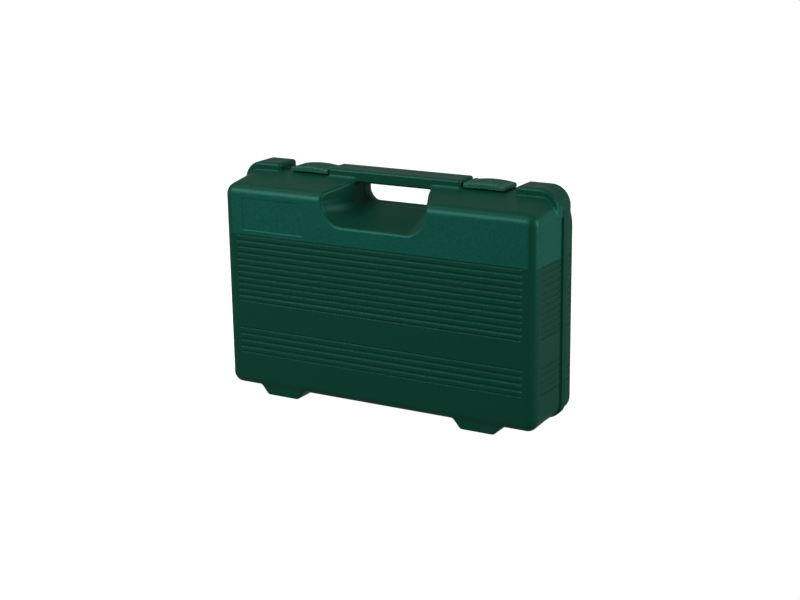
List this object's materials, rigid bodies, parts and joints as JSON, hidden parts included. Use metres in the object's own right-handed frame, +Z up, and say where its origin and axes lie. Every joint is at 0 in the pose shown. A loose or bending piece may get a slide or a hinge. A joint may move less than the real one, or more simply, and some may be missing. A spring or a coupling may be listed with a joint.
{
  "type": "socket wrench set in case",
  "caption": "Moulded plastic carrying case with hinged lid, slide latches and handle, holding ratchets, sockets, extension bars, a universal joint and drivers in a fitted tray.",
  "frame": {"origin": "under the middle of the closed case, on the floor that its feet stand on", "axes": "+X along the width, -Y towards the front face, +Z up"},
  "size_m": [0.43, 0.104, 0.285],
  "materials": {
    "case_plastic": "fine moulded texture, dark green",
    "latch_plastic": "ridged moulded plastic, dark green",
    "steel": "plain machined steel",
    "chrome": "satin chrome plate",
    "tray_plastic": "black moulded plastic, fine matt grain",
    "foam": "dark grey open-cell egg-crate foam",
    "grip_rubber": "soft black grip"
  },
  "bodies": {
    "root": {"rear_shell": "case_plastic", "hinge_pins": "steel", "tray_panel": "tray_plastic", "tray_sides": "tray_plastic", "tray_rails": "tray_plastic", "tray_spacers": "tray_plastic", "big_ratchet_body": "chrome", "big_ratchet_grip": "grip_rubber", "big_ratchet_cover": "chrome", "big_ratchet_screws": "steel", "small_ratchet_body": "chrome", "small_ratchet_grip": "grip_rubber", "small_ratchet_cover": "chrome", "small_ratchet_screws": "steel", "long_extension": "chrome", "short_extension": "chrome", "small_extension": "chrome", "joint_socket_yoke": "chrome", "slide_bar": "chrome", "spinner_grip": "grip_rubber", "spinner_shank": "chrome", "adapter": "chrome", "plug_socket": "chrome", "plug_socket_insert": "grip_rubber", "small_sockets": "chrome", "socket_10": "chrome", "socket_11": "chrome", "socket_12": "chrome", "socket_13": "chrome", "socket_14": "chrome", "socket_15": "chrome", "socket_16": "chrome", "socket_17": "chrome", "socket_18": "chrome", "socket_19": "chrome", "socket_20": "chrome", "socket_21": "chrome", "socket_22": "chrome", "socket_24": "chrome", "socket_27": "chrome", "socket_30": "chrome", "socket_32": "chrome"},
    "lid": {"front_shell": "case_plastic", "foam_pad": "foam"},
    "left_latch": {"left_latch": "latch_plastic"},
    "right_latch": {"right_latch": "latch_plastic"},
    "big_drive": {"big_ratchet_gear": "steel"},
    "big_selector": {"big_ratchet_lever": "chrome", "big_ratchet_pawl": "steel"},
    "big_release": {"big_ratchet_button": "chrome"},
    "big_detent": {"big_ratchet_ball": "steel"},
    "small_drive": {"small_ratchet_gear": "steel"},
    "small_selector": {"small_ratchet_lever": "chrome", "small_ratchet_pawl": "steel"},
    "small_release": {"small_ratchet_button": "chrome"},
    "small_detent": {"small_ratchet_ball": "steel"},
    "joint_cross": {"joint_cross": "steel"},
    "joint_end": {"joint_square_yoke": "chrome"},
    "slide_head": {"slide_head": "chrome"}
  },
  "joints": [
    {"name": "lid_hinge", "type": "hinge", "parent": "root", "child": "lid", "pos_m": [0, 0.019, 0.0052], "axis": [1, 0, 0], "range_deg": [0, 100]},
    {"name": "left_latch_slide", "type": "slide", "parent": "root", "child": "left_latch", "axis": [-1, 0, 0], "range_m": [0, 0.012]},
    {"name": "right_latch_slide", "type": "slide", "parent": "root", "child": "right_latch", "axis": [1, 0, 0], "range_m": [0, 0.012]},
    {"name": "big_drive_turn", "type": "hinge", "parent": "root", "child": "big_drive", "pos_m": [-0.17, 0.002, 0.04], "axis": [0, 1, 0], "continuous": true},
    {"name": "big_selector_turn", "type": "hinge", "parent": "root", "child": "big_selector", "pos_m": [-0.1545, 0.002, 0.04], "axis": [0, -1, 0], "range_deg": [0, 36]},
    {"name": "big_release_press", "type": "slide", "parent": "big_drive", "child": "big_release", "axis": [0, 1, 0], "range_m": [0, 0.0015], "stiffness_N_per_m": 400, "springref_m": -0.002},
    {"name": "big_detent_slide", "type": "slide", "parent": "big_drive", "child": "big_detent", "axis": [-1, 0, 0], "range_m": [0, 0.0009]},
    {"name": "small_drive_turn", "type": "hinge", "parent": "root", "child": "small_drive", "pos_m": [-0.1785, 0.003, 0.131], "axis": [0, 1, 0], "continuous": true},
    {"name": "small_selector_turn", "type": "hinge", "parent": "root", "child": "small_selector", "pos_m": [-0.1692, 0.003, 0.131], "axis": [0, -1, 0], "range_deg": [0, 36]},
    {"name": "small_release_press", "type": "slide", "parent": "small_drive", "child": "small_release", "axis": [0, 1, 0], "range_m": [0, 0.0009], "stiffness_N_per_m": 400, "springref_m": -0.002},
    {"name": "small_detent_slide", "type": "slide", "parent": "small_drive", "child": "small_detent", "axis": [-1, 0, 0], "range_m": [0, 0.00054]},
    {"name": "joint_bend", "type": "hinge", "parent": "root", "child": "joint_cross", "pos_m": [0.12, 0.014, 0.04], "axis": [0, 0, -1], "range_deg": [0, 35]},
    {"name": "joint_swing", "type": "hinge", "parent": "joint_cross", "child": "joint_end", "pos_m": [0.12, 0.014, 0.04], "axis": [0, 1, 0], "range_deg": [-15, 15]},
    {"name": "head_slide", "type": "slide", "parent": "root", "child": "slide_head", "axis": [1, 0, 0], "range_m": [0, 0.2]}
  ],
  "couplings": [
    {"joint": "big_detent_slide", "follows": "big_release_press", "ratio": 0.6},
    {"joint": "small_detent_slide", "follows": "small_release_press", "ratio": 0.6}
  ]
}
